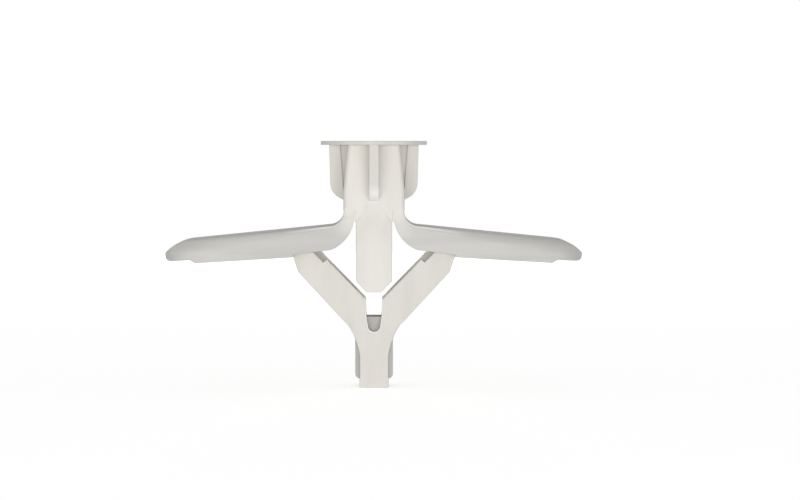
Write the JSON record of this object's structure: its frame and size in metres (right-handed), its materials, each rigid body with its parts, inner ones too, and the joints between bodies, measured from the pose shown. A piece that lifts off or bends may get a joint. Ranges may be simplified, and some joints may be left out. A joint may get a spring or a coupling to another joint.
{
  "type": "drywall anchor",
  "caption": "Winged plastic drywall anchor with a thin round flange, a finned sleeve, two hinged wing shells and a strutted nut that a screw draws up behind the board.",
  "frame": {"origin": "centre of the flange's underside, where the board's face meets the screw axis", "axes": "+Z out of the wall along the screw, +X along the right wing, +Y towards the back"},
  "size_m": [0.056, 0.0142, 0.033],
  "materials": {
    "natural_plastic": "natural polypropylene, satin, slightly translucent"
  },
  "bodies": {
    "collar": {"collar": "natural_plastic", "left_hinge_strap": "natural_plastic", "right_hinge_strap": "natural_plastic"},
    "left_wing": {"left_wing": "natural_plastic"},
    "right_wing": {"right_wing": "natural_plastic"},
    "left_strut": {"left_strut": "natural_plastic"},
    "right_strut": {"right_strut": "natural_plastic"},
    "nut": {"nut": "natural_plastic"}
  },
  "joints": [
    {"name": "left_wing_fold", "type": "hinge", "parent": "collar", "child": "left_wing", "pos_m": [-0.00473, 0, -0.01094], "axis": [0, -1, 0], "range_deg": [-5, 83], "stiffness_Nm_per_rad": 0.004, "deforming": ["left_hinge_strap", "right_hinge_strap"]},
    {"name": "left_strut_swing", "type": "hinge", "parent": "left_wing", "child": "left_strut", "pos_m": [-0.0113, 0, -0.0136], "axis": [0, -1, 0], "range_deg": [-126.19, 7.65]},
    {"name": "nut_level", "type": "hinge", "parent": "left_strut", "child": "nut", "pos_m": [-0.0027, 0, -0.0225], "axis": [0, -1, 0], "range_deg": [-2.65, 43.19]},
    {"name": "right_strut_swing", "type": "hinge", "parent": "nut", "child": "right_strut", "pos_m": [0.0027, 0, -0.0225], "axis": [0, -1, 0], "range_deg": [-2.65, 43.19]},
    {"name": "right_wing_fold", "type": "hinge", "parent": "collar", "child": "right_wing", "pos_m": [0.00473, 0, -0.01094], "axis": [0, 1, 0], "range_deg": [-5.05, 83.05]}
  ],
  "couplings": [
    {"joint": "left_strut_swing", "follows": "left_wing_fold", "ratio": -1.5197},
    {"joint": "nut_level", "follows": "left_wing_fold", "ratio": 0.5197},
    {"joint": "right_strut_swing", "follows": "left_wing_fold", "ratio": 0.5197},
    {"joint": "right_wing_fold", "follows": "left_wing_fold", "ratio": 1}
  ]
}
